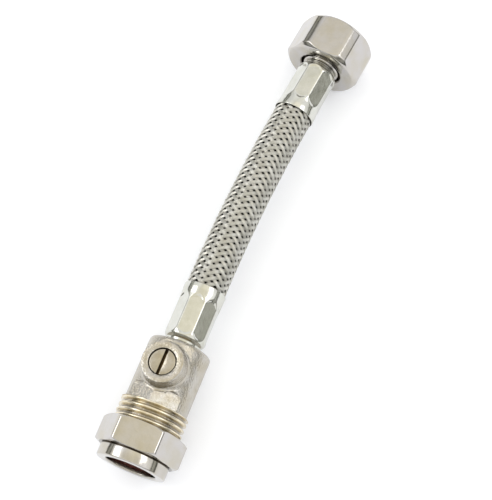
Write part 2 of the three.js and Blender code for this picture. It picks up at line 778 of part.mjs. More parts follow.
function weaveSquare(positions, faces, rows, stations, row) {
  const middle = (stations[row] + stations[row + 1]) / 2;
  for (let column = 0; column < BRAID_COLUMNS; column += 1) {
    const next = (column + 1) % BRAID_COLUMNS;
    const angle = (2 * Math.PI * (column + 0.5)) / BRAID_COLUMNS;
    const radius = eased(middle, BRAID_CRIMPED_R, BRAID_R) - strandDepth(row, column);
    const centre = positions.length / 3;
    positions.push(...hosePoint(middle, angle, radius));
    const ring = [rows[row] + column, rows[row + 1] + column, rows[row + 1] + next, rows[row] + next];
    ring.forEach((corner, i) => faces.push(ring[(i + 1) % 4], corner, centre));
  }
}

function braidSleeve() {
  const end = HOSE_END_INSET - RUNNING_FIT;
  const woven = [];
  for (let s = VALVE_MOUTH - BRAID_COVER; s < TAP_MOUTH + BRAID_COVER; s += BRAID_HALF_PITCH) {
    woven.push(s);
  }
  const lead = [VALVE_MOUTH - end, ...easingStations(VALVE_MOUTH, 1)];
  const tail = [...easingStations(TAP_MOUTH, -1), TAP_MOUTH + end];
  const positions = [];
  const faces = [];
  const rowAt = (s, crimped, free, depthAt) => pushRow(
    positions,
    s,
    BRAID_COLUMNS,
    (column) => eased(s, crimped, free) - depthAt(column),
  );
  const plainRow = (s) => rowAt(s, BRAID_CRIMPED_R, BRAID_R, () => 0);
  const leadRows = lead.map(plainRow);
  const wovenRows = woven.map((s, row) => (
    rowAt(s, BRAID_CRIMPED_R, BRAID_R, (column) => rowDepth(row, column))));
  const tailRows = tail.map(plainRow);
  joinRows(faces, [...leadRows, wovenRows[0]], BRAID_COLUMNS);
  joinRows(faces, [wovenRows.at(-1), ...tailRows], BRAID_COLUMNS);
  for (let row = 0; row < woven.length - 1; row += 1) {
    weaveSquare(positions, faces, wovenRows, woven, row);
  }
  const nearMouth = (s) => wallFreedom(s) < 1;
  const innerWoven = woven.filter((s, i) => i % BRAID_BORE_STEP === 0 || (nearMouth(s) && i % 2 === 0));
  const innerRows = [...lead, ...innerWoven, ...tail].map((s) => (
    rowAt(s, BRAID_CRIMPED_BORE_R, BRAID_BORE_R, () => 0)));
  addBore(faces, [leadRows[0], tailRows.at(-1)], innerRows, BRAID_COLUMNS);
  return hoseGeometry(positions, faces);
}

// Swivel nut and washer

function tapNut() {
  const half = ACROSS_FLATS / 2;
  const front = SWIVEL_END - SWIVEL_FRONT_BREAK;
  const back = SWIVEL_START + SWIVEL_BACK_BREAK;
  const blank = turned([
    [SWIVEL_START, SWIVEL_HOLE_R + EDGE_BREAK],
    [SWIVEL_START, SWIVEL_FACE_R],
    [SWIVEL_START + EDGE_BREAK, half],
    [back, SWIVEL_CORNER_R],
    [front, SWIVEL_CORNER_R],
    [SWIVEL_END - EDGE_BREAK, half],
    [SWIVEL_END, SWIVEL_FACE_R],
    [SWIVEL_END, THREAD_MAJOR_R + RUNNING_FIT],
    [SWIVEL_END - THREAD_PITCH / 2, THREAD_MINOR_R + SEALED_GAP],
    [SWIVEL_RELIEF_END, THREAD_MINOR_R + SEALED_GAP],
    [SWIVEL_RELIEF_END, SWIVEL_RELIEF_R],
    [SWIVEL_WALL_END, SWIVEL_RELIEF_R],
    [SWIVEL_WALL_END, SWIVEL_HOLE_R],
    [SWIVEL_START + EDGE_BREAK, SWIVEL_HOLE_R],
  ]);
  return common(blank, hexPrism(SWIVEL_START - OVERCUT, SWIVEL_END + OVERCUT));
}

function tapWasher() {
  const from = FLANGE_START + FLANGE_THICKNESS + SEATED_GAP;
  const to = from + WASHER_THICKNESS;
  return turned([
    [from, WASHER_BORE_R],
    [from, WASHER_R],
    [to, WASHER_R],
    [to, WASHER_BORE_R],
  ], HIDDEN_FACETS);
}

// Materials

const nickel = { color: '#cfc8bb', roughness: 0.3, metalness: 1 };
const castNickel = { color: '#c4bdb0', roughness: 0.42, metalness: 1 };
const stainless = { color: '#c9c7bf', roughness: 0.25, metalness: 1 };
const braidWire = { color: '#aaa698', roughness: 0.35, metalness: 1 };
const brass = { color: '#c8a35a', roughness: 0.35, metalness: 1 };
const copper = { color: '#8a4a34', roughness: 0.5, metalness: 1 };
const fluoropolymer = { color: '#f1efe8', roughness: 0.5, metalness: 0 };
const rubber = { color: '#1b1b1b', roughness: 0.8, metalness: 0 };
const fibre = { color: '#2a2a2a', roughness: 0.85, metalness: 0 };

function piece(name, geometry, look) {
  const mesh = new THREE.Mesh(geometry, new THREE.MeshStandardMaterial(look));
  mesh.name = name;
  return mesh;
}

function groupOf(name, members) {
  const group = new THREE.Group();
  group.name = name;
  group.add(...members);
  return group;
}

const joint = groupOf('compression_joint', [
  piece('compression_nut', compressionNut(), nickel),
  piece('olive', olive(), copper),
]);

const spindle = groupOf('spindle', [
  piece('valve_stem', valveStem(), nickel),
  piece('valve_ball', valveBall(), nickel),
  piece('stem_o_ring_upper', spindleSeal(SEAL_HEIGHTS[1]), rubber),
  piece('stem_o_ring_lower', spindleSeal(SEAL_HEIGHTS[0]), rubber),
]);

const valve = groupOf('isolating_valve', [
  piece('valve_body', valveBody(), castNickel),
  spindle,
  piece('ball_seat_inlet', ballSeat(-1), fluoropolymer),
  piece('ball_seat_outlet', ballSeat(1), fluoropolymer),
  piece('valve_end_tail', valveEndTail(), brass),
  piece('tail_o_ring', tailSeal(), rubber),
]);
valve.rotation.x = radians(BODY_ROLL);

const hose = groupOf('braided_hose', [
  piece('valve_end_ferrule', ferrule(VALVE_MOUTH, -1), stainless),
  piece('inner_hose', innerHose(), rubber),
  piece('braid_sleeve', braidSleeve(), braidWire),
]);

const tapEnd = groupOf('tap_end', [
  piece('tap_end_ferrule', ferrule(TAP_MOUTH, 1), stainless),
  piece('tap_end_tail', tapEndTail(), nickel),
  piece('tap_washer', tapWasher(), fibre),
  piece('tap_nut', tapNut(), nickel),
]);
tapEnd.rotation.z = -radians(BEND_ANGLE);
tapEnd.position.copy(hoseFrame(0).centre);
const bendEnd = hoseFrame(BEND_START + BEND_LENGTH);
tapEnd.position.copy(bendEnd.centre).addScaledVector(bendEnd.direction, -BEND_START - BEND_LENGTH);

// The whole part stands on the floor with its box centred over the origin
const part = groupOf('flexible_hose', [joint, valve, hose, tapEnd]);
part.updateMatrixWorld(true);
const box = new THREE.Box3().setFromObject(part, true);
const centre = box.getCenter(new THREE.Vector3());
part.position.set(-centre.x, -centre.y, -box.min.z);
part.updateMatrixWorld(true);

export default part;
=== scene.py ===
# %% [markdown]
# # A braided tap connector on a white table
#
# The part lies on the flats of its two nuts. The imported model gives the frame, and each cell below makes
# one of its pieces again with round edges, real wires and real finishes. Lengths are written in
# millimetres and turned into metres in one place.

import math

import bmesh
import bpy
import numpy as np
from mathutils import Matrix, Vector


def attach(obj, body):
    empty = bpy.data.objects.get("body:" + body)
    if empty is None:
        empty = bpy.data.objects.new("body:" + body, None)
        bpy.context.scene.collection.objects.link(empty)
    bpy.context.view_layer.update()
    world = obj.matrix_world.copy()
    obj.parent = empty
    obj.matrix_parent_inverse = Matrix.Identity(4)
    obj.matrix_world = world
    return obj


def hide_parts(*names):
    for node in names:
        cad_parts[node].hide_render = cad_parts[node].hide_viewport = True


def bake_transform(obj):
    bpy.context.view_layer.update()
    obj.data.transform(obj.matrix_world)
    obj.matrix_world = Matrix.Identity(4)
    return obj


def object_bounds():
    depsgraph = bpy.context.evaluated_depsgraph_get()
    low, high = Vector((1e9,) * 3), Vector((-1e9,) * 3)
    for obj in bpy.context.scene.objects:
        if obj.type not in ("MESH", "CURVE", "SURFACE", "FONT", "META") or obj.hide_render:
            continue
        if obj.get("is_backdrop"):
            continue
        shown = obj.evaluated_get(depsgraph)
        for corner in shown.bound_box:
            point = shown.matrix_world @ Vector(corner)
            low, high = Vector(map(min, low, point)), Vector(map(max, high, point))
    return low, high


MM = 0.001
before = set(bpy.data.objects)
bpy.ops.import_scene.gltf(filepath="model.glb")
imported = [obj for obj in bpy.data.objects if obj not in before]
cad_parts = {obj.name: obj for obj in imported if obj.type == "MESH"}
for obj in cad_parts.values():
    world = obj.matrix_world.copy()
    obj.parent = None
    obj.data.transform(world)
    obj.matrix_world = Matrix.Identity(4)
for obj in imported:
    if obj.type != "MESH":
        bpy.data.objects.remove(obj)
size_at_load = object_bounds()
print("pieces in the frame:", len(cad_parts))

# %% [markdown]
# ## Where things are
#
# Every piece is turned or bent round one line, so a place is written as a station: the distance along that
# line from the compression nut's face. Writing X and Y by hand would do for the straight valve, but not
# past the hose, which is an arc between two straight ends.

# %% Placing by station
SHIFT = Vector((-77.6275, 3.4217, 11.5))
BEND_START = 57.95
BEND_LENGTH = 64.0
BEND_END = BEND_START + BEND_LENGTH
BEND = math.radians(6.88)
BEND_R = BEND_LENGTH / BEND
VALVE_ROLL = math.radians(-6)
VALVE_CENTRE = 29.4
VALVE_MOUTH = 57.5
TAP_MOUTH = 122.4


def line_at(station):
    """Centre of the hose and its direction at a station, before the part is centred."""
    along = min(max(station - BEND_START, 0.0), BEND_LENGTH)
    turn = along / BEND_R
    direction = Vector((math.cos(turn), -math.sin(turn), 0))
    centre = Vector((BEND_START + BEND_R * math.sin(turn), -BEND_R * (1 - math.cos(turn)), 0))
    return centre + direction * (station - BEND_START - along), direction


bend_end, bend_direction = line_at(BEND_END)
tap_origin = bend_end - bend_direction * BEND_END
STRAIGHT = Matrix.Scale(MM, 4) @ Matrix.Translation(SHIFT)
ROLLED = STRAIGHT @ Matrix.Rotation(VALVE_ROLL, 4, "X")
TURNED = STRAIGHT @ Matrix.Translation(tap_origin) @ Matrix.Rotation(-BEND, 4, "Z")
print("tap end turned by", round(math.degrees(BEND), 2), "degrees")

# %% [markdown]
# ## Camera
#
# The photograph looks down steeply from behind the compression nut, through a long lens. A camera could be
# aimed by eye. These angles, the distance and the focal length in pixels were worked out from the part's
# known sizes instead, so that the outlines fall on each other.

# %% Camera
scene = bpy.context.scene
PHOTO_WIDTH = 492
SENSOR_WIDTH = 36.0
ELEVATION = math.radians(69.51)
AZIMUTH = math.radians(21.58)
ROLL = math.radians(-0.16)
DISTANCE = 374.4
FOCAL_PIXELS = 1227.5
AIM = Vector((74.12, -6.58, 0.0)) + SHIFT
looking = Vector((
    math.cos(ELEVATION) * math.cos(AZIMUTH),
    math.cos(ELEVATION) * math.sin(AZIMUTH),
    -math.sin(ELEVATION),
))
upward = Vector((
    math.sin(ELEVATION) * math.cos(AZIMUTH),
    math.sin(ELEVATION) * math.sin(AZIMUTH),
    math.cos(ELEVATION),
))
rightward = looking.cross(upward)
level_right = rightward * math.cos(ROLL) + upward * math.sin(ROLL)
level_up = upward * math.cos(ROLL) - rightward * math.sin(ROLL)
camera_data = bpy.data.cameras.new("camera")
camera_data.sensor_fit = "HORIZONTAL"
camera_data.sensor_width = SENSOR_WIDTH
camera_data.lens = FOCAL_PIXELS / PHOTO_WIDTH * SENSOR_WIDTH
camera_data.clip_start = 0.01
camera = bpy.data.objects.new("camera", camera_data)
scene.collection.objects.link(camera)
camera.matrix_world = Matrix.Translation((AIM - looking * DISTANCE) * MM) @ Matrix((
    (level_right.x, level_up.x, -looking.x, 0),
    (level_right.y, level_up.y, -looking.y, 0),
    (level_right.z, level_up.z, -looking.z, 0),
    (0, 0, 0, 1),
))
scene.camera = camera
print("lens", round(camera_data.lens, 1), "mm")

# %% [markdown]
# ## Colours and nodes
#
# A colour is written as sRGB hex, as a paint chart gives it, and Blender wants linear light, so one function
# turns it. Nodes take several lines each when they are added one by one. One small function that adds a
# node, sets it and links it keeps a material readable.

# %% Colours and nodes
def linear(hex_colour):
    """A linear RGBA colour from an sRGB hex string."""
    parts = [int(hex_colour[i:i + 2], 16) / 255 for i in (1, 3, 5)]
    return [c / 12.92 if c <= 0.04045 else ((c + 0.055) / 1.055) ** 2.4 for c in parts] + [1.0]


def add(tree, kind, *links, **values):
    """Adds a node, sets its properties or sockets by name, and joins (output, input name) pairs."""
    node = tree.nodes.new(kind)
    for key, value in values.items():
        if key in node.inputs:
            node.inputs[key].default_value = value
        else:
            setattr(node, key, value)
    for source, name in links:
        tree.links.new(source, node.inputs[name])
    return node


print("mid grey in linear light:", round(linear("#808080")[0], 3))

# %% [markdown]
# ## One surface for every finish
#
# Bright metal gets most of its look from what it mirrors. The rest is small: plate that is a little wavy,
# soft patches where it is clouded, and painted shade in grooves and hollows. Painted pictures could hold
# that, but noise measured in real millimetres needs none and fits every piece.

# %% Surface
# Dark brown for painted shade in grooves, thread roots, recesses and deep wires
PAINTED_SHADE_COLOUR = linear("#4a3d28")
PATCH_EDGES = (0.35, 0.65)


def surface(name, colour, metal, rough, bump_mm=0.0, grain_mm=1.0, stain=None, patch_mm=6.0):
    """A surface with a fine bump and soft patches of a second colour. Where the mesh stores a share of shade,
    the colour goes towards a dark brown: painted shade."""
    material = bpy.data.materials.new(name)
    material.use_nodes = True
    tree = material.node_tree
    shader = tree.nodes["Principled BSDF"]
    shader.inputs["Base Color"].default_value = linear(colour)
    shader.inputs["Metallic"].default_value = metal
    shader.inputs["Roughness"].default_value = rough
    place = add(tree, "ShaderNodeTexCoord").outputs["Object"]
    if stain:
        patches = add(tree, "ShaderNodeTexNoise", (place, "Vector"), Scale=1 / (patch_mm * MM), Detail=4.0)
        soft = add(tree, "ShaderNodeMapRange", (patches.outputs["Fac"], "Value"))
        soft.inputs["From Min"].default_value = PATCH_EDGES[0]
        soft.inputs["From Max"].default_value = PATCH_EDGES[1]
        clean = add(tree, "ShaderNodeMix", (soft.outputs["Result"], "Factor"), data_type="RGBA")
        clean.inputs["A"].default_value = linear(colour)
        clean.inputs["B"].default_value = linear(stain)
        # Painted shade: the share stored on the mesh pulls the colour towards the dark brown
        painted_shade = add(tree, "ShaderNodeAttribute", attribute_name="painted_shade")
        painted_shade_mix = add(tree, "ShaderNodeMix", (painted_shade.outputs["Fac"], "Factor"),
                     (clean.outputs["Result"], "A"), data_type="RGBA")
        painted_shade_mix.inputs["B"].default_value = PAINTED_SHADE_COLOUR
        tree.links.new(painted_shade_mix.outputs["Result"], shader.inputs["Base Color"])
    if bump_mm:
        grain = add(tree, "ShaderNodeTexNoise", (place, "Vector"), Scale=1 / (grain_mm * MM), Detail=3.0)
        bump = add(tree, "ShaderNodeBump", (grain.outputs["Fac"], "Height"), Distance=bump_mm * MM)
        tree.links.new(bump.outputs["Normal"], shader.inputs["Normal"])
    return material


print("painted shade in linear light:", [round(c, 3) for c in PAINTED_SHADE_COLOUR[:3]])

# %% [markdown]
# ## Metal finishes
#
# Nickel plate reflects warm and beige, stainless steel a little cooler and greener. One nickel would do for
# all turned pieces, but the real ones differ: the nuts are polished, the forged body keeps its pebbled skin,
# and the spindle and the thread are plated thinly. The numbers are metal, roughness, bump and grain.

# %% Metal finishes
# Polished nickel plate on a turned nut: nearly a mirror, a little wavy and faintly clouded
nickel = surface(
    "nickel plate, polished", "#c0bdbb", 1.0, 0.13, 0.04, 2.5, stain="#bbb6ab", patch_mm=5.0)
# Nickel plate over a forged skin: satin and pebbled, so it sparkles where light grazes it
cast_nickel = surface(
    "nickel plate, forged satin", "#bfbbb4", 1.0, 0.27, 0.2, 0.6, stain="#b5ae9f", patch_mm=3.0)
# Spindle head, plated thinly over brass: duller and more beige than the nuts
spindle_nickel = surface(
    "nickel plate, spindle", "#b8b2a6", 1.0, 0.2, 0.05, 1.2, stain="#aea696", patch_mm=2.0)
# Thread flanks, plated thinly and a little golden, with painted shade in the roots
thread_nickel = surface(
    "nickel plate, thread", "#e6dfcf", 1.0, 0.24, 0.02, 0.8, stain="#d8ccb0", patch_mm=3.0)
# Drawn stainless sheet, bright, creased softly by the crimping
stainless = surface(
    "stainless sheet, bright", "#d3d3cd", 1.0, 0.15, 0.07, 4.0, stain="#c8c8bf", patch_mm=4.0)
# Fine stainless wire, with painted shade where it dips under its neighbours
wire = surface("stainless wire, drawn", "#eeede7", 1.0, 0.33, 0.0, 1.0, stain="#dddbd2", patch_mm=2.0)
# Copper olive under a film of oxide, dulled to maroon, so it is only partly metallic
copper = surface("copper, dull", "#c67d73", 0.35, 0.45, 0.01, 0.8, stain="#9a5650", patch_mm=3.0)
# Machined brass of the tail in the valve: warm yellow and clean
brass = surface("brass, machined", "#d2ae62", 1.0, 0.25, 0.0, 1.0, stain="#c29c50", patch_mm=4.0)
print("metal finishes:", len(bpy.data.materials))

# %% [markdown]
# ## Rubber and plastic
#
# The liner shows only as black between the wires, the washer only in the swivel nut's mouth, and the seats
# not at all, so a plain dull surface is enough for them.

# %% Rubber and plastic
# Rubber liner: matt black, so the gaps in the braid stay dark
rubber = surface("rubber, matt", "#060606", 0.0, 0.9)
# Washer rubber: slightly grey, with a fine moulded grain
washer_rubber = surface("washer rubber, matt", "#232323", 0.0, 0.75, 0.02, 0.6)
# White seat plastic: waxy, half glossy
seat_plastic = surface("seat plastic, waxy", "#f1efe8", 0.0, 0.45)
print("all finishes:", len(bpy.data.materials))

# %% [markdown]
# ## Outlines for turned pieces
#
# Almost every piece was turned on a lathe, so its shape is one outline of (station, radius). A bevel after
# spinning could round the edges, but it works on hundreds of edges at once and fails on tight steps.
# Rounding the outline first is exact, and dividing it finely leaves enough points to press flats into.

# %% Outline helpers
def rounded(profile, radius=0.15, steps=3, closed=True):
    """The profile with each corner replaced by a small arc."""
    points = [Vector(p) for p in profile]
    count = len(points)
    result = []
    for i, corner in enumerate(points):
        if not closed and i in (0, count - 1):
            result.append(corner)
            continue
        before = points[i - 1] - corner
        after = points[(i + 1) % count] - corner
        reach = min(radius, before.length * 0.45, after.length * 0.45)
        first = corner + before.normalized() * reach
        last = corner + after.normalized() * reach
        for k in range(steps + 1):
            t = k / steps
            result.append(first * (1 - t) ** 2 + corner * 2 * t * (1 - t) + last * t ** 2)
    return result


def divided(points, coarse, fine=None, zone=None):
    """The closed profile with no segment longer than coarse. Inside the zone, which is given as its
    first station, last station and smallest radius, none is longer than fine."""
    result = []
    for i, start in enumerate(points):
        end = points[(i + 1) % len(points)]
        inside = zone and all(zone[0] <= p[0] <= zone[1] and p[1] >= zone[2] for p in (start, end))
        step = fine if inside else coarse
        pieces = max(1, math.ceil((end - start).length / step))
        result += [start.lerp(end, k / pieces) for k in range(pieces)]
    return result


print("a square with round corners has", len(rounded([(0, 1), (0, 2), (1, 2), (1, 1)])), "points")

# %% [markdown]
# ## Spinning and finishing
#
# The spin operator turns an outline into a closed body, as the lathe does. It may come out inside out, so
# the normals are worked out again each time. Then the mesh is moved to its place in the part, in metres, so
# that its object can stay at the origin.

# %% Spinning and finishing
def spun(mesh, points, steps, closed=True, upright=False):
    """Spins a profile round the X axis, or round the spindle's axis when upright."""
    centre = Vector((VALVE_CENTRE, 0, 0)) if upright else Vector((0, 0, 0))
    if upright:
        verts = [mesh.verts.new((VALVE_CENTRE + p[1], 0, p[0])) for p in points]
    else:
        verts = [mesh.verts.new((p[0], 0, p[1])) for p in points]
    pairs = list(zip(verts, verts[1:])) + ([(verts[-1], verts[0])] if closed else [])
    edges = [mesh.edges.new(pair) for pair in pairs]
    axis = (0, 0, 1) if upright else (1, 0, 0)
    bmesh.ops.spin(mesh, geom=verts + edges, cent=centre, axis=axis, angle=2 * math.pi,
                   steps=steps, use_merge=True)
    bmesh.ops.recalc_face_normals(mesh, faces=mesh.faces)


def finished(name, mesh, matrix, material, body, *nodes):
    """Turns a bmesh in millimetres into an object in the row frame that rides on a body."""
    data = bpy.data.meshes.new(name)
    mesh.transform(matrix)
    mesh.to_mesh(data)
    mesh.free()
    data.shade_smooth()
    data.materials.append(material)
    obj = bpy.data.objects.new(name, data)
    scene.collection.objects.link(obj)
    if nodes:
        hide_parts(*nodes)
    if body:
        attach(obj, body)
    print(name, len(data.polygons), "faces")
    return obj


def store_painted_shade(mesh, share_at):
    """Stores how much painted shade each vertex gets, from 0 to 1, for the materials to read."""
    layer = mesh.verts.layers.float.new("painted_shade")
    for v in mesh.verts:
        v[layer] = min(max(share_at(v.co, math.hypot(v.co.y, v.co.z)), 0.0), 1.0)


print("spinning is ready")

# %% [markdown]
# ## Flats on a turned blank
#
# A nut starts as a turned blank and gets its hexagon afterwards, and the curved edges where the flats meet
# the chamfer come from that. A hexagonal prism with a bevel would have straight edges there. So the six
# flats are pressed into the spun mesh, with a small rounded join.

# %% Pressing a hexagon
ACROSS_FLATS = 23.0


def lesser(a, b, blend):
    """The smaller of two numbers, with a rounded join of that width."""
    h = max(blend - abs(a - b), 0.0) / blend
    return min(a, b) - h * h * blend / 4


def scale_outwards(v, scale):
    """Moves a vertex along its radius."""
    v.co.y *= scale
    v.co.z *= scale


def press_hex(mesh, across_flats, start, end, inside, blend):
    """Presses six flats into the turned blank between two stations, outside a radius."""
    for v in mesh.verts:
        radius = math.hypot(v.co.y, v.co.z)
        if radius < inside or not start < v.co.x < end:
            continue
        angle = math.atan2(-v.co.y, v.co.z)
        turn = (angle + math.pi / 6) % (math.pi / 3) - math.pi / 6
        flat = across_flats / 2 / math.cos(turn)
        scale_outwards(v, lesser(radius, flat, blend) / radius)


print("hexagon corners would be", round(ACROSS_FLATS / math.cos(math.pi / 6), 2), "mm apart")

# %% [markdown]
# ## Compression nut
#
# The nut squeezes the olive onto the pipe. In front of the hexagon it has a round collar, with a narrow
# groove between the two, which gets painted shade.

# %% Compression nut
nut_profile = [
    (0.0, 7.95), (0.0, 10.35), (0.25, 10.6), (3.5, 10.6), (3.55, 10.2), (3.8, 10.2), (3.8, 11.3),
    (4.1, 12.3), (4.6, 13.1), (11.2, 13.1), (11.75, 12.3), (12.0, 11.5), (12.0, 10.95),
    (11.7, 10.68), (5.5, 10.68), (5.5, 10.15), (3.0, 7.65), (0.3, 7.65),
]
NUT_HEX = (3.7, 12.1)
NUT_HEX_FOOT = 10.9
NUT_CORNER_BLEND = 0.35
NUT_STEPS = 288


def nut_painted_shade(co, radius):
    """Painted shade in the groove beside the collar, and a little in the hole and at the back."""
    in_groove = 3.45 < co.x < 3.85 and radius < 11.4
    in_hole_or_back = radius < 7.8 or co.x > 11.9
    return 0.9 * in_groove + 0.2 * in_hole_or_back


mesh = bmesh.new()
spun(mesh, divided(rounded(nut_profile, 0.16), 2.0, 0.25, (*NUT_HEX, NUT_HEX_FOOT)), NUT_STEPS)
press_hex(mesh, ACROSS_FLATS, *NUT_HEX, NUT_HEX_FOOT, NUT_CORNER_BLEND)
store_painted_shade(mesh, nut_painted_shade)
finished("compression_nut_turned", mesh, STRAIGHT, nickel, "compression_nut", "compression_nut")

# %% [markdown]
# ## Olive
#
# A plain copper ring with a cone at each end. It could stay as the frame's faceted ring, but it is seen in
# the hole, where facets would show in its gloss.

# %% Olive
olive_profile = [(3.5, 7.6), (3.5, 7.9), (4.5, 8.8), (8.2, 8.8), (9.9, 7.9), (9.9, 7.6)]
mesh = bmesh.new()
spun(mesh, divided(rounded(olive_profile, 0.1), 1.0), 144)
finished("olive_ring", mesh, STRAIGHT, copper, "olive", "olive")

# %% [markdown]
# ## Valve body
#
# A forging, turned at its ends. The barrel has four spanner flats that run out softly into the round part.
# Cutting them with a boolean gives a hard, straight edge. Here the barrel is spun with a fine zone, and the
# flats limit how far its points reach, so the run-out is curved as on the forging.

# %% How far the barrel reaches
BODY_R = 9.58
FLAT_ANGLES = [math.radians(a) for a in (25.5, -25.5, 154.5, 205.5)]
FLAT_APOTHEM = 8.6
FLAT_END = 23.2
FLAT_STRAIGHT = 2.2
FLAT_ROUNDING = 2.4
FLAT_DROP = 2.0
FLAT_RUN_OUT = 3.0


def spanner_limit(station, angle):
    """How far out the barrel reaches at a station and angle once the flats are pressed."""
    limit = BODY_R + 1
    for flat in FLAT_ANGLES:
        turn = (angle - flat + math.pi) % (2 * math.pi) - math.pi
        if abs(turn) > 1:
            continue
        side = abs(FLAT_APOTHEM * math.tan(turn))
        corner = max(0.0, side - FLAT_STRAIGHT) / FLAT_ROUNDING
        end = FLAT_END - FLAT_DROP * corner * corner
        apothem = FLAT_APOTHEM + max(0.0, station - end) * FLAT_RUN_OUT
        limit = min(limit, apothem / math.cos(turn))
    return limit


print("reach at a flat", spanner_limit(20.0, FLAT_ANGLES[0]), "of", BODY_R)

# %% Barrel with spanner flats
barrel_profile = [
    (8.3, 9.0), (8.3, 9.35), (18.4, 9.35), (18.4, 9.4), (18.6, BODY_R), (24.6, BODY_R), (37.3, BODY_R),
    (37.9, 9.28), (38.2, 8.7), (38.2, 5.8), (37.35, 5.8), (37.35, 7.3), (25.9, 7.3), (25.9, 6.4),
    (23.05, 6.4), (23.05, 4.2), (20.5, 4.2), (20.5, 7.65), (10.6, 7.65),
]
FLATS_FROM = 18.3
FLATS_TO = 26.0
FINE_TO = 24.7
FINE_FOOT = 8.6
FORGED_BLEND = 0.12
BARREL_STEPS = 288
body = bmesh.new()
spun(body, divided(rounded(barrel_profile, 0.2), 3.0, 0.16, (FLATS_FROM, FINE_TO, FINE_FOOT)), BARREL_STEPS)
for v in body.verts:
    radius = math.hypot(v.co.y, v.co.z)
    if radius < FINE_FOOT + 0.05 or not FLATS_FROM < v.co.x < FLATS_TO:
        continue
    limit = spanner_limit(v.co.x, math.atan2(-v.co.y, v.co.z))
    scale_outwards(v, lesser(radius, limit, FORGED_BLEND) / radius)
print("barrel vertices:", len(body.verts))

# %% [markdown]
# ## Spindle boss
#
# The boss stands on the barrel with a small fillet that rises and falls as it goes round. A union and a
# bevel would make it, but a bevel along such an edge breaks easily. The boss is spun upright, and its lowest
# rings are laid onto the barrel. It is spun in a mesh of its own, because spinning inside a large mesh is
# slow, and then gathered into the body.

# %% Spindle boss
BOSS_TOP = 13.5
BOSS_R = 6.22
BOSS_STRAIGHT_TO = 13.2
BOSS_FOOT = 6.6
RECESS_R = 4.1
FILLET = 1.0
ON_SIDE = 20
ON_FOOT = 40
BOSS_STEPS = 192
rings = [
    (10.0, 4.0), (12.0, 4.0), (12.0, RECESS_R), (13.1, RECESS_R), (13.42, RECESS_R),
    (BOSS_TOP, 4.18), (BOSS_TOP, 5.98), (13.46, 6.1), (13.38, 6.18), (BOSS_STRAIGHT_TO, BOSS_R),
]
# The side's rings carry their share of the way down, and the foot's rings their height over the barrel
side = [(ON_SIDE + t, BOSS_R + (BOSS_FOOT - BOSS_R) * t) for t in (0.2, 0.4, 0.6, 0.8)]
foot = []
for k in range(9):
    a = math.pi / 2 * k / 8
    foot.append((ON_FOOT + FILLET * (1 - math.sin(a)), BOSS_FOOT + FILLET * (1 - math.cos(a))))
boss = bmesh.new()
spun(boss, [Vector(p) for p in rings + side + foot], BOSS_STEPS, closed=False, upright=True)
for v in boss.verts:
    if v.co.z < ON_SIDE - 1:
        continue
    barrel_top = math.sqrt(BODY_R ** 2 - v.co.y ** 2)
    if v.co.z > ON_FOOT - 1:
        v.co.z = barrel_top + (v.co.z - ON_FOOT) - 0.01
    else:
        share = v.co.z - ON_SIDE
        v.co.z = BOSS_STRAIGHT_TO + (barrel_top + FILLET - BOSS_STRAIGHT_TO) * share
print("boss vertices:", len(boss.verts))

# %% The whole body
def gather(mesh, other):
    """Adds a second bmesh to the first and frees it."""
    data = bpy.data.meshes.new("gathered")
    other.to_mesh(data)
    other.free()
    mesh.from_mesh(data)
    bpy.data.meshes.remove(data)


def body_painted_shade(co, radius):
    """Painted shade in the recess round the spindle and against the thread's shoulder."""
    from_spindle = math.hypot(co.x - VALVE_CENTRE, co.y)
    in_recess = 9 < co.z < 13.2 and from_spindle < RECESS_R + 0.02
    return 0.55 * in_recess + 0.5 * (co.x < 18.55)


gather(body, boss)
store_painted_shade(body, body_painted_shade)
finished("valve_body_forged", body, ROLLED, cast_nickel, "valve", "valve_body")

# %% [markdown]
# ## Male thread
#
# A pipe thread of 14 turns to the inch has a pitch of 1.814 mm. The Screw modifier could make it, but spin
# with a step along the axis does the same in the mesh. One strip of one pitch is spun, and its points are
# held between two stations, so both ends are flat.

# %% Male thread
PITCH = 1.814
STRIP_POINTS = 13
STEPS_PER_TURN = 72


def thread_strip(minor, major, start):
    """One pitch of the thread's section, with rounded crests and roots."""
    points = []
    for i in range(STRIP_POINTS):
        share = i / (STRIP_POINTS - 1)
        rise = min(max(0.5 + 0.75 * math.cos(2 * math.pi * share), 0.0), 1.0)
        points.append((start - PITCH * 1.5 + share * PITCH, minor + (major - minor) * rise))
    return points


def thread(minor, major, start, end, limit=None):
    """A helical strip, cut off flat at both stations, and no larger than the limit at each station."""
    mesh = bmesh.new()
    turns = math.ceil((end - start) / PITCH) + 2
    verts = [mesh.verts.new((x, 0, r)) for x, r in thread_strip(minor, major, start)]
    edges = [mesh.edges.new(pair) for pair in zip(verts, verts[1:])]
    bmesh.ops.spin(mesh, geom=verts + edges, cent=(0, 0, 0), axis=(1, 0, 0),
                   dvec=(PITCH / STEPS_PER_TURN, 0, 0), angle=2 * math.pi * turns,
                   steps=STEPS_PER_TURN * turns)
    for v in mesh.verts:
        radius = math.hypot(v.co.y, v.co.z)
        v.co.x = min(max(v.co.x, start), end)
        if limit:
            scale_outwards(v, min(radius, limit(v.co.x)) / radius)
    bmesh.ops.remove_doubles(mesh, verts=mesh.verts, dist=0.002)
    bmesh.ops.recalc_face_normals(mesh, faces=mesh.faces)
    return mesh


THREAD_MINOR_R = 9.3155
THREAD_MAJOR_R = 10.4775
THREAD_START = 8.3
THREAD_END = 18.4
mesh = thread(THREAD_MINOR_R, THREAD_MAJOR_R, THREAD_START, THREAD_END,
              limit=lambda x: 9.5 + (x - THREAD_START) * 1.2)
# Painted shade in the thread's roots, darker the deeper a point lies
store_painted_shade(mesh, lambda co, r: (9.9 - r) / 1.1)
finished("male_thread", mesh, STRAIGHT, thread_nickel, "valve")

# %% [markdown]
# ## Spindle
#
# A screwdriver turns the ball by this spindle. It is turned first, with its two seal grooves. Then it gets
# what a lathe can't give it: a tongue that fits the ball, and the slot. Both are booleans with a plain
# block, which is how they are milled.

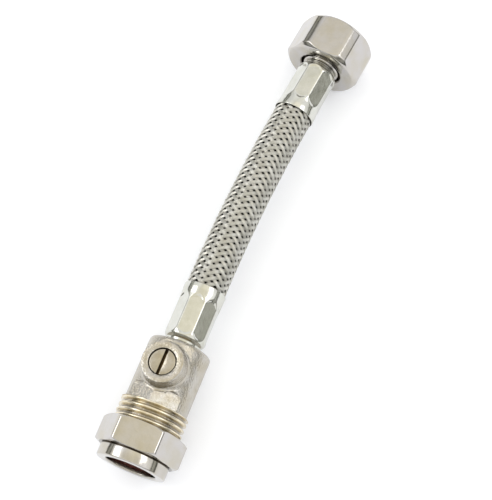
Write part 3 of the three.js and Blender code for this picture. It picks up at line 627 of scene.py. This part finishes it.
# %% Turned spindle
STEM_TOP = 13.15
STEM_R = 3.8
STEM_GROOVE_R = 3.04
stem_profile = [
    (6.75, 0.0), (6.75, 4.3), (7.9, 4.3), (7.9, STEM_R), (8.45, STEM_R), (8.45, STEM_GROOVE_R),
    (9.55, STEM_GROOVE_R), (9.55, STEM_R), (10.35, STEM_R), (10.35, STEM_GROOVE_R),
    (11.45, STEM_GROOVE_R), (11.45, STEM_R), (STEM_TOP, STEM_R), (STEM_TOP, 0.0),
]
mesh = bmesh.new()
spun(mesh, rounded(stem_profile, 0.14, closed=False), 96, closed=False, upright=True)
bmesh.ops.remove_doubles(mesh, verts=mesh.verts, dist=0.0005)
bmesh.ops.recalc_face_normals(mesh, faces=mesh.faces)
stem = finished("spindle_slotted", mesh, Matrix.Identity(4), spindle_nickel, None, "valve_stem")


# %% Slot and tongue
def block(name, size, height):
    """A plain block on the spindle's axis, for a boolean."""
    mesh = bmesh.new()
    bmesh.ops.create_cube(mesh, size=1.0)
    bmesh.ops.scale(mesh, vec=size, verts=mesh.verts)
    bmesh.ops.translate(mesh, vec=(VALVE_CENTRE, 0, height), verts=mesh.verts)
    data = bpy.data.meshes.new(name)
    mesh.to_mesh(data)
    mesh.free()
    obj = bpy.data.objects.new(name, data)
    scene.collection.objects.link(obj)
    return obj


SLOT_WIDTH = 1.0
slot_cutter = block("slot_cutter", (12.0, SLOT_WIDTH, 2.8), STEM_TOP)
tongue = block("tongue", (2.0, 5.0, 1.9), 6.15)
for operation, other in (("UNION", tongue), ("DIFFERENCE", slot_cutter)):
    modifier = stem.modifiers.new(operation, "BOOLEAN")
    modifier.operation = operation
    modifier.object = other
    modifier.solver = "EXACT"
evaluated = stem.evaluated_get(bpy.context.evaluated_depsgraph_get())
mesh = bmesh.new()
mesh.from_mesh(bpy.data.meshes.new_from_object(evaluated))
stem.modifiers.clear()
for helper in (slot_cutter, tongue):
    bpy.data.objects.remove(helper)
print("slotted spindle", len(mesh.faces), "faces")

# %% [markdown]
# The slot's edges are still sharp. Only they are bevelled, because the turned edges are already round, and
# they are found by their angle and their height.

# %% Edges of the slot
def stem_painted_shade(co, radius):
    """Painted shade in the slot, and less of it down the side."""
    below_top = co.z < STEM_TOP - 0.25
    in_slot = abs(co.y) < SLOT_WIDTH / 2 + 0.02
    return below_top * (1.0 if in_slot else 0.5)


sharp = [e for e in mesh.edges if len(e.link_faces) == 2 and e.calc_face_angle() > 0.9
         and max(v.co.z for v in e.verts) > 11.5]
bmesh.ops.bevel(mesh, geom=sharp, offset=0.1, offset_type="OFFSET", segments=2, profile=0.5,
                affect="EDGES", material=-1, clamp_overlap=True)
store_painted_shade(mesh, stem_painted_shade)
mesh.transform(ROLLED)
mesh.to_mesh(stem.data)
mesh.free()
stem.data.shade_smooth()
stem.data.set_sharp_from_angle(angle=math.radians(40))
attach(stem, "spindle")
print("bevelled edges:", len(sharp), "and faces:", len(stem.data.polygons))

# %% [markdown]
# ## Hose tails
#
# A tail is pushed into each end of the hose, and its barbs hold the rubber. At rest only the necks show, as
# narrow rings beside the ferrules. The tap tail's flange shows when the nut slides back.

# %% Tails
TAIL_BORE_R = 2.9
TAIL_SHANK_R = 3.65
TAIL_NECK_R = 4.1


def barbs(tip, side):
    """The barbed shank, from its tip inwards."""
    points = [(tip, 3.6)]
    for i in range(5):
        crest = tip + side * (i + 0.8) * 2.8
        points += [(crest, 3.9), (crest + side * 0.3, TAIL_SHANK_R)]
    return points


valve_tail_profile = [(54.7, TAIL_BORE_R)] + barbs(54.7, -1) + [
    (41.3, TAIL_SHANK_R), (41.3, TAIL_NECK_R), (38.65, TAIL_NECK_R), (38.65, 5.2), (37.2, 5.2),
    (37.2, 7.1), (36.95, 7.1), (36.95, 6.34), (35.85, 6.34), (35.85, 7.1), (33.75, 7.1),
    (33.75, 6.35), (35.75, 6.35), (35.75, TAIL_BORE_R),
]
mesh = bmesh.new()
spun(mesh, divided(rounded(valve_tail_profile, 0.12), 3.0), 96)
finished("tail_at_valve", mesh, ROLLED, brass, "valve", "valve_end_tail")

tap_tail_profile = [(125.2, TAIL_BORE_R)] + barbs(125.2, 1) + [
    (138.6, TAIL_SHANK_R), (138.6, TAIL_NECK_R), (141.1, TAIL_NECK_R), (141.1, 5.9), (141.4, 6.2),
    (144.9, 6.2), (144.9, 8.9), (146.4, 8.9), (146.4, 4.5), (147.7, 4.5), (148.0, 4.2),
    (148.0, TAIL_BORE_R),
]
mesh = bmesh.new()
spun(mesh, divided(rounded(tap_tail_profile, 0.15), 1.5), 144)
tap_tail = finished("tail_at_tap", mesh, TURNED, nickel, "tap_end", "tap_end_tail")

# %% [markdown]
# ## Washer
#
# A flat rubber ring that the tap is pressed onto. It has slightly round edges from its mould.

# %% Washer
washer_profile = [(146.55, 4.7), (146.55, 8.9), (148.55, 8.9), (148.55, 4.7)]
mesh = bmesh.new()
spun(mesh, divided(rounded(washer_profile, 0.2), 1.0), 128)
washer = finished("washer_ring", mesh, TURNED, washer_rubber, "washer", "tap_washer")

# %% [markdown]
# ## Crimped ferrules
#
# Each ferrule is a drawn steel sleeve that eight jaws squeeze onto the hose. A jaw leaves a flat with round
# ends, like a pill. The distance from such a pill's middle line tells how deep the sleeve is pressed, so one
# formula makes all eight, and the sheet between them stays round.

# %% Ferrules
CRIMP_TURN = math.radians(-2.5)
CRIMP_APOTHEM = 6.05
PILL_FIRST = 6.8
PILL_LAST = 13.5
PILL_R = 2.5
PILL_SLOPE = 0.45
CREASE_BLEND = 0.12
FERRULE_STEPS = 240
ferrule_profile = [
    (0.0, 6.45), (0.15, 6.65), (1.6, 6.65), (3.5, 6.5), (15.9, 6.5), (16.7, 6.32), (17.3, 5.85),
    (17.7, 5.32), (18.6, 5.25), (18.6, 4.25), (16.4, 4.25), (16.4, 5.55), (3.5, 5.55), (0.3, 6.3),
]


def crimped_reach(along, angle, radius):
    """How far out the sleeve reaches at a distance from its mouth once the jaws have closed."""
    turn = (angle - CRIMP_TURN + math.pi / 8) % (math.pi / 4) - math.pi / 8
    past_end = along - min(max(along, PILL_FIRST), PILL_LAST)
    outside = max(0.0, math.hypot(past_end, radius * math.sin(turn)) - PILL_R)
    return (CRIMP_APOTHEM + outside * PILL_SLOPE) / math.cos(turn)


def ferrule(name, mouth, side, matrix, body_name, node):
    """A turned sleeve, described from its open mouth, with the jaws' flats pressed in."""
    mesh = bmesh.new()
    points = divided(rounded(ferrule_profile, 0.3, 4), 3.0, 0.2, (1.5, 17.8, 5.8))
    spun(mesh, [(mouth + side * p[0], p[1]) for p in points], FERRULE_STEPS)
    for v in mesh.verts:
        radius = math.hypot(v.co.y, v.co.z)
        along = side * (v.co.x - mouth)
        if radius < 5.9 or not 2 < along < 17.6:
            continue
        reach = crimped_reach(along, math.atan2(-v.co.y, v.co.z), radius)
        scale_outwards(v, lesser(radius, reach, CREASE_BLEND) / radius)
    return finished(name, mesh, matrix, stainless, body_name, node)


ferrule("ferrule_at_valve", VALVE_MOUTH, -1, STRAIGHT, "valve", "valve_end_ferrule")
tap_ferrule = ferrule("ferrule_at_tap", TAP_MOUTH, 1, TURNED, "tap_end", "tap_end_ferrule")

# %% [markdown]
# ## Swivel nut
#
# This nut turns freely on the tap tail. It is made as the compression nut is, with sharper corners, and its
# female thread is a second strip gathered into the same mesh.

# %% Swivel nut
tap_nut_profile = [
    (141.1, 7.2), (141.1, 11.2), (141.4, 11.6), (142.3, 12.5), (152.8, 12.5), (153.9, 11.7),
    (154.3, 11.2), (154.3, 10.9), (153.4, 10.56), (147.6, 10.56), (147.6, 10.6), (144.6, 10.6),
    (144.6, 6.9), (141.4, 6.9),
]
SWIVEL_HEX = (141.0, 154.4)
SWIVEL_HEX_FOOT = 10.95
SWIVEL_CORNER_BLEND = 0.18
FEMALE_THREAD = (147.6, 153.4)


def swivel_painted_shade(co, radius):
    """Painted shade round the neck's hole and in the thread's roots."""
    in_roots = FEMALE_THREAD[0] - 0.1 < co.x < FEMALE_THREAD[1] + 0.1 and 10.3 < radius < 10.8
    return 0.6 * (radius < 7.3) + 0.5 * in_roots


mesh = bmesh.new()
spun(mesh, divided(rounded(tap_nut_profile, 0.2), 2.0, 0.25, (*SWIVEL_HEX, 11.0)), NUT_STEPS)
press_hex(mesh, ACROSS_FLATS, *SWIVEL_HEX, SWIVEL_HEX_FOOT, SWIVEL_CORNER_BLEND)
gather(mesh, thread(9.38, 10.54, *FEMALE_THREAD))
store_painted_shade(mesh, swivel_painted_shade)
swivel_nut = finished("swivel_nut", mesh, TURNED, nickel, "tap_nut", "tap_nut")

# %% [markdown]
# ## Braid
#
# The braid is 24 carriers of five fine wires, twelve each way, over two and under two. A bump pattern would
# do from far off, but the edge of the hose is made of wires too, so each wire is a real one. It is a curve
# with a bevel, which is quick to make, and one mesh holds all the wires of one direction.

# %% Points round the hose
CARRIERS = 12
WIRES = 5
WIRE_R = 0.112
COLUMN = math.radians(15)
HALF_PITCH = 1.07
SAMPLES = 5
LAY = math.radians(57)
FREE_RISE = 0.9
HELD_INSIDE = 3.5
WIDENS_OVER = 5.0


def freedom(station):
    """0 inside a ferrule, 1 where the hose is free."""
    inset = min(station - VALVE_MOUTH, TAP_MOUTH - station)
    t = min(max((inset + HELD_INSIDE) / WIDENS_OVER, 0.0), 1.0)
    return t * t * (3 - 2 * t)


def hose_point(station, angle, radius):
    """A point round the hose's centreline, in the row frame, in metres."""
    centre, direction = line_at(station)
    sideways = Vector((direction.y, -direction.x, 0))
    offset = sideways * (radius * math.sin(angle)) + Vector((0, 0, radius * math.cos(angle)))
    return (centre + offset + SHIFT) * MM


print("free hose:", round(TAP_MOUTH - VALVE_MOUTH, 1), "mm")

# %% [markdown]
# A strand goes over two others and under two, so its height is a wave four columns long with flat tops. Its
# middle wire lies highest and its edge wires lowest, because the strand is pulled over a round hose.

# %% One wire's path
CRIMPED_R = 5.15
WEAVE_HEIGHT = 0.115
WEAVE_FLATNESS = 1.6
CROWN = 0.006
WIRE_SPACING = 2.02 * WIRE_R
BRAID_MIDDLE_R = 6.2
BRAID_FROM = VALVE_MOUTH - 1.2
BRAID_TO = TAP_MOUTH + 1.2
PATTERN_FROM = VALVE_MOUTH - 0.5


def wire_path(stations, carrier, across, way):
    """Points of one wire, which lies across wires from the middle of its strand."""
    spread = across * WIRE_SPACING / math.cos(LAY) / BRAID_MIDDLE_R
    points = []
    for s in stations:
        angle = carrier * 2 * COLUMN + way * (s - PATTERN_FROM) / HALF_PITCH * COLUMN
        wave = way * math.cos((angle / COLUMN - 0.5) * math.pi / 2)
        height = WEAVE_HEIGHT * min(max(wave * WEAVE_FLATNESS, -1.0), 1.0)
        radius = CRIMPED_R + FREE_RISE * freedom(s) + height - CROWN * across * across
        points.append(hose_point(s, angle + spread, radius))
    return points


step_count = int((BRAID_TO - BRAID_FROM) / HALF_PITCH * SAMPLES) + 1
braid_stations = [BRAID_FROM + (BRAID_TO - BRAID_FROM) * i / (step_count - 1) for i in range(step_count)]
print("points on a wire:", step_count)

# %% [markdown]
# Wires get painted shade where they lie deep, and a strand's edges get painted shade that makes them darker
# than its middle. Both are stored on the mesh, so the painted shade follows the weave and not the view.

# %% Painted shade in the weave
# Painted shade on the braid: it starts below this radius, deepens over this depth to its darkest, and edge
# wires get a fixed share
PAINTED_SHADE_BELOW = 6.02
PAINTED_SHADE_DEPTH = 0.15
DEEPEST_PAINTED_SHADE = 0.95
EDGE_PAINTED_SHADE = 0.22


def wire_painted_shade(data):
    """Painted shade: wires are darkened where they lie deep in the weave, and along the edges of a strand."""
    per_wire = len(data.vertices) // (CARRIERS * WIRES)
    number = np.arange(len(data.vertices)) // per_wire % WIRES
    at_edge = (number == 0) | (number == WIRES - 1)
    flat = np.zeros(len(data.vertices) * 3)
    data.vertices.foreach_get("co", flat)
    spots = flat.reshape(-1, 3) / MM - np.array(SHIFT)
    sideways = np.where(
        spots[:, 0] > BEND_START,
        np.hypot(spots[:, 0] - BEND_START, spots[:, 1] + BEND_R) - BEND_R,
        spots[:, 1],
    )
    depth = PAINTED_SHADE_BELOW - np.hypot(sideways, spots[:, 2])
    share = np.clip(depth / PAINTED_SHADE_DEPTH, 0.0, 1.0) * DEEPEST_PAINTED_SHADE
    layer = data.attributes.new("painted_shade", "FLOAT", "POINT")
    layer.data.foreach_set("value", np.maximum(share, at_edge * EDGE_PAINTED_SHADE))


print("painted shade starts", round(CRIMPED_R + FREE_RISE + WEAVE_HEIGHT + WIRE_R - PAINTED_SHADE_BELOW, 3), "mm down")


# %% Braid wires
def braid(name, way):
    """All wires of one direction, as one mesh laid along the hose's bend."""
    curve = bpy.data.curves.new(name, "CURVE")
    curve.dimensions = "3D"
    curve.bevel_depth = WIRE_R * MM
    curve.bevel_resolution = 0
    for carrier in range(CARRIERS):
        for number in range(WIRES):
            points = wire_path(braid_stations, carrier, number - (WIRES - 1) / 2, way)
            spline = curve.splines.new("POLY")
            spline.points.add(len(points) - 1)
            spline.points.foreach_set("co", np.array([[*p, 1.0] for p in points]).ravel())
    holder = bpy.data.objects.new(name + "_curve", curve)
    scene.collection.objects.link(holder)
    evaluated = holder.evaluated_get(bpy.context.evaluated_depsgraph_get())
    data = bpy.data.meshes.new_from_object(evaluated)
    data.name = name
    bpy.data.objects.remove(holder)
    data.materials.clear()
    data.materials.append(wire)
    data.shade_smooth()
    wire_painted_shade(data)
    obj = bpy.data.objects.new(name, data)
    scene.collection.objects.link(obj)
    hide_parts("braid_sleeve")
    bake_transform(obj)
    print(name, len(data.polygons), "faces")
    return obj


right_hand = braid("braid_right_hand", 1)
left_hand = braid("braid_left_hand", -1)

# %% [markdown]
# ## Rubber liner
#
# The liner is the hose itself. It is spun straight like the other pieces, with a ring every millimetre
# where it is free, and then each ring is moved onto the bent centreline.

# %% Rubber liner
LINER_START = 41.5
LINER_END = 138.4
LINER_R = 4.95
LINER_RISE = 0.7
LINER_BORE_R = 4.05
LINER_BORE_RISE = 0.15
mesh = bmesh.new()
liner_stations = [LINER_START] + list(np.arange(53.5, 126.5, 1.0)) + [LINER_END]
outer = [(s, LINER_R + LINER_RISE * freedom(s)) for s in liner_stations]
inner = [(s, LINER_BORE_R + LINER_BORE_RISE * freedom(s)) for s in reversed(liner_stations)]
spun(mesh, [Vector(p) for p in outer + inner], 64)
for v in mesh.verts:
    centre, direction = line_at(v.co.x)
    v.co = centre + Vector((-direction.y, direction.x, 0)) * v.co.y + Vector((0, 0, v.co.z))
liner = finished("rubber_liner", mesh, STRAIGHT, rubber, None, "inner_hose")
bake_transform(liner)

# %% [markdown]
# ## Inner pieces
#
# The ball, the seats and the seals are hidden inside the valve, so the frame's own solids stay. They only get
# their finishes.

# %% Finishes of the inner pieces
for node, material in (
    ("valve_ball", nickel), ("ball_seat_inlet", seat_plastic), ("ball_seat_outlet", seat_plastic),
    ("tail_o_ring", rubber), ("stem_o_ring_upper", rubber), ("stem_o_ring_lower", rubber),
):
    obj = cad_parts[node]
    obj.data.materials.clear()
    obj.data.materials.append(material)
print("finishes set on the inner pieces")

# %% [markdown]
# ## Table
#
# The photograph has a pure white ground. More light would bleach the metal, so the table's paint glows a
# little instead, only for what the camera or a mirror sees. The table still takes the part's shadow.

# %% Table
TABLE_LIFT = 0.22
mesh = bmesh.new()
bmesh.ops.create_grid(mesh, x_segments=1, y_segments=1, size=3.0)
table_data = bpy.data.meshes.new("table")
mesh.to_mesh(table_data)
mesh.free()
table = bpy.data.objects.new("table", table_data)
scene.collection.objects.link(table)
table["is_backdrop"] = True
table_paint = surface("table, matt white", "#eff1f7", 0.0, 0.9)
table_data.materials.append(table_paint)
tree = table_paint.node_tree
rays = add(tree, "ShaderNodeLightPath").outputs
looked_at = add(tree, "ShaderNodeMath", (rays["Is Camera Ray"], 0), (rays["Is Glossy Ray"], 1),
                operation="ADD")
seen = add(tree, "ShaderNodeMath", (looked_at.outputs["Value"], 0), (rays["Is Transmission Ray"], 1),
           operation="ADD", use_clamp=True)
lift = add(tree, "ShaderNodeMath", (seen.outputs["Value"], 0), operation="MULTIPLY")
lift.inputs[1].default_value = TABLE_LIFT
glow = add(tree, "ShaderNodeEmission", (lift.outputs["Value"], "Strength"), Color=linear("#fafbff"))
both = add(tree, "ShaderNodeAddShader", (tree.nodes["Principled BSDF"].outputs["BSDF"], 0),
           (glow.outputs["Emission"], 1))
tree.links.new(both.outputs["Shader"], tree.nodes["Material Output"].inputs["Surface"])
print("table ready")

# %% [markdown]
# ## Room
#
# A soft white room lights the part. It has dark bands near the horizon, because bright metal only looks like
# metal when it has something dark to mirror. A colour ramp over the height of the direction makes the bands,
# and slow noise makes the walls uneven. A picture of a studio would do the same, but none is needed.

# %% Room light
ROOM_LEVEL = 1.12
DARKEST, BRIGHTEST = 0.82, 1.24
stops = [
    (0.00, "#b9bab8"), (0.04, "#4c4d47"), (0.10, "#34352f"), (0.15, "#a9aaa3"), (0.24, "#c2c2bb"),
    (0.28, "#5a5b53"), (0.32, "#4b4c44"), (0.37, "#f2f2ef"), (0.60, "#ffffff"), (0.80, "#fffefa"),
    (0.91, "#faf5e6"), (1.00, "#f6f0dc"),
]
world = bpy.data.worlds.new("room")
scene.world = world
world.use_nodes = True
tree = world.node_tree
background = tree.nodes["Background"]
direction = add(tree, "ShaderNodeTexCoord").outputs["Generated"]
split = add(tree, "ShaderNodeSeparateXYZ", (direction, "Vector"))
ramp = add(tree, "ShaderNodeValToRGB", (split.outputs["Z"], "Fac"))
while len(ramp.color_ramp.elements) < len(stops):
    ramp.color_ramp.elements.new(0.5)
for element, (position, colour) in zip(ramp.color_ramp.elements, stops):
    element.position = position
    element.color = linear(colour)
blotches = add(tree, "ShaderNodeTexNoise", (direction, "Vector"), Scale=2.6, Detail=2.0)
level = add(tree, "ShaderNodeMapRange", (blotches.outputs["Fac"], "Value"))
level.inputs["From Min"].default_value = 0.3
level.inputs["From Max"].default_value = 0.7
level.inputs["To Min"].default_value = DARKEST
level.inputs["To Max"].default_value = BRIGHTEST
strength = add(tree, "ShaderNodeMath", (level.outputs["Result"], 0), operation="MULTIPLY")
strength.inputs[1].default_value = ROOM_LEVEL
tree.links.new(ramp.outputs["Color"], background.inputs["Color"])
tree.links.new(strength.outputs["Value"], background.inputs["Strength"])
print("room bands:", len(stops))

# %% [markdown]
# ## Windows
#
# Two weak rectangular lights give the soft shadow a side and the edges a glint. A sun lamp would be simpler,
# but its shadow would be hard.

# %% Windows
def window(name, place, width, height_m, power):
    """A rectangular area light at a place, facing the part."""
    data = bpy.data.lights.new(name, "AREA")
    data.shape = "RECTANGLE"
    data.size = width
    data.size_y = height_m
    data.energy = power
    obj = bpy.data.objects.new(name, data)
    scene.collection.objects.link(obj)
    obj.location = place
    obj.rotation_euler = (-Vector(place)).to_track_quat("-Z", "Y").to_euler()


window("left_window", (-0.1, 0.55, 0.5), 0.5, 0.3, 1.2)
window("right_window", (0.2, -0.5, 0.7), 0.4, 0.3, 0.8)
scene.view_settings.view_transform = "Standard"

# %% [markdown]
# ## Size
#
# The box of the shown part and the box of its frame are both printed. The shown part has to stay as
# large as its frame.

size_at_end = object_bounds()
sizes = [[list(map(float, corner)) for corner in pair] for pair in (size_at_load, size_at_end)]
for name, (low, high) in zip(("at load", "at end"), sizes):
    print("size", name, [round(h - l, 4) for l, h in zip(low, high)])
